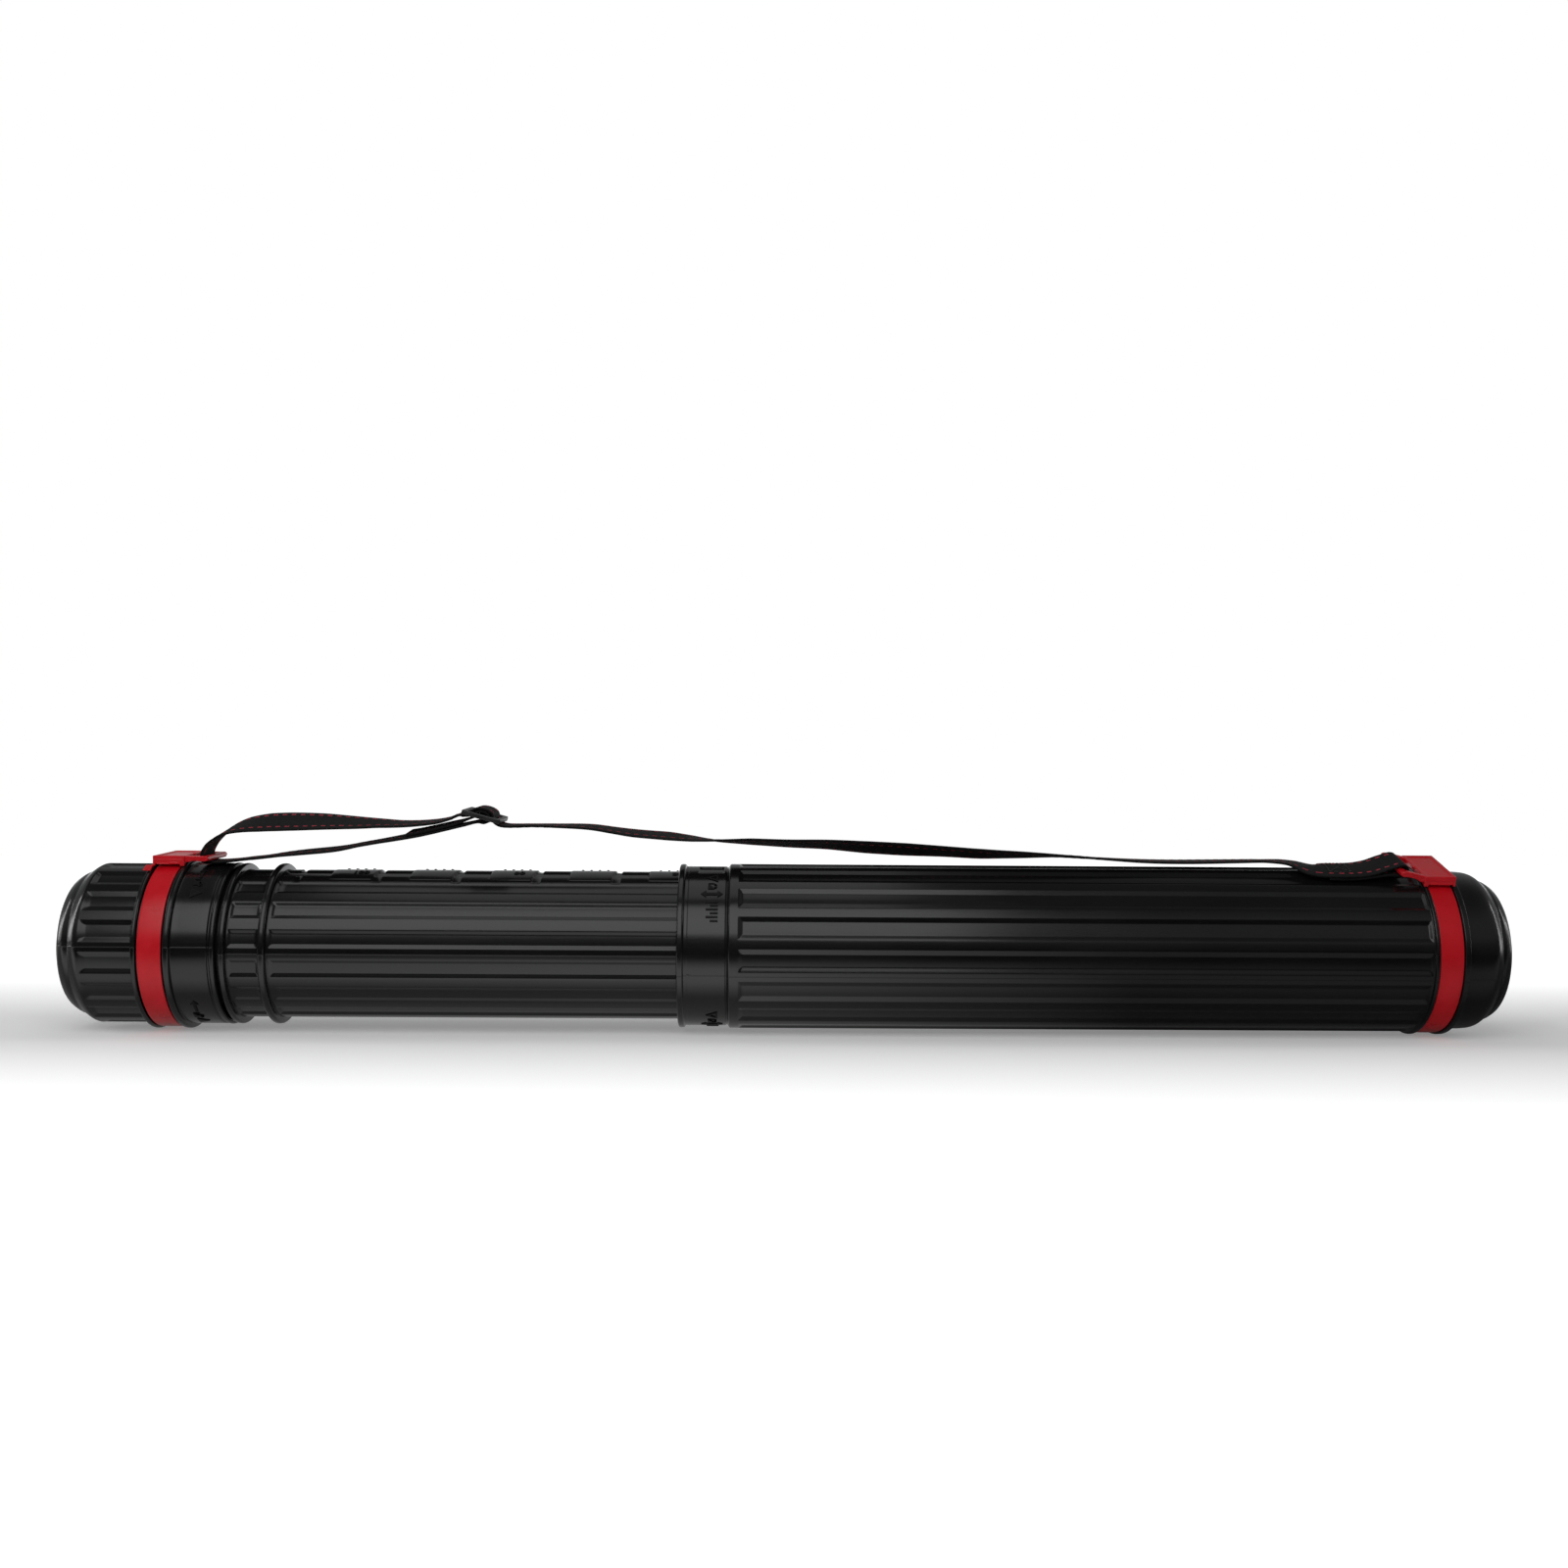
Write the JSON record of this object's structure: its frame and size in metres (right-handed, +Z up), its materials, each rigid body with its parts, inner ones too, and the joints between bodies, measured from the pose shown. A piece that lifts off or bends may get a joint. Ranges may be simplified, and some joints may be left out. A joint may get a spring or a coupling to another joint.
{
  "type": "telescopic drawing tube",
  "caption": "Extending round plastic tube for rolled drawings, with a twist lock, screw-off end cap and a webbing shoulder strap.",
  "frame": {"origin": "middle of the bounding box's bottom face, under the tube's axis, halfway between the cap's and the base's ends", "axes": "+X along the tube from the end cap to the closed base, +Z up with the strap and the length scale on top"},
  "size_m": [0.9022, 0.1078, 0.1427],
  "materials": {
    "black_plastic": "semi-gloss moulded",
    "red_plastic": "satin moulded",
    "webbing": "woven, with red dashes",
    "thread": "sewn",
    "slider_plastic": "satin moulded"
  },
  "bodies": {
    "barrel": {"outer_tube": "black_plastic"},
    "base_ring": {"base_ring_band": "red_plastic", "base_buckle": "red_plastic", "shoulder_strap": "webbing", "base_stitch_tack": "thread"},
    "extension": {"inner_tube": "black_plastic"},
    "cap_ring": {"cap_ring_band": "red_plastic", "cap_buckle": "red_plastic"},
    "cap": {"end_cap": "black_plastic"},
    "adjuster": {"strap_adjuster": "slider_plastic", "adjuster_stitch_tack": "thread"}
  },
  "joints": [
    {"name": "twist_lock", "type": "hinge", "parent": "barrel", "child": "base_ring", "pos_m": [0.40695, 0, 0.05393], "axis": [1, 0, 0], "range_deg": [0, 18]},
    {"name": "extend", "type": "slide", "parent": "base_ring", "child": "extension", "axis": [-1, 0, 0], "range_m": [-0.25, 0.15], "deforming": ["shoulder_strap"]},
    {"name": "cap_pull", "type": "slide", "parent": "extension", "child": "cap_ring", "axis": [-1, 0, 0], "range_m": [0, 0.08], "deforming": ["shoulder_strap"]},
    {"name": "cap_turn", "type": "hinge", "parent": "cap_ring", "child": "cap", "pos_m": [-0.38795, 0, 0.05393], "axis": [1, 0, 0], "range_deg": [0, 30]},
    {"name": "adjuster_slide", "type": "slide", "parent": "extension", "child": "adjuster", "axis": [1, 0, 0], "range_m": [-0.04, 0.06], "deforming": ["shoulder_strap"]}
  ]
}
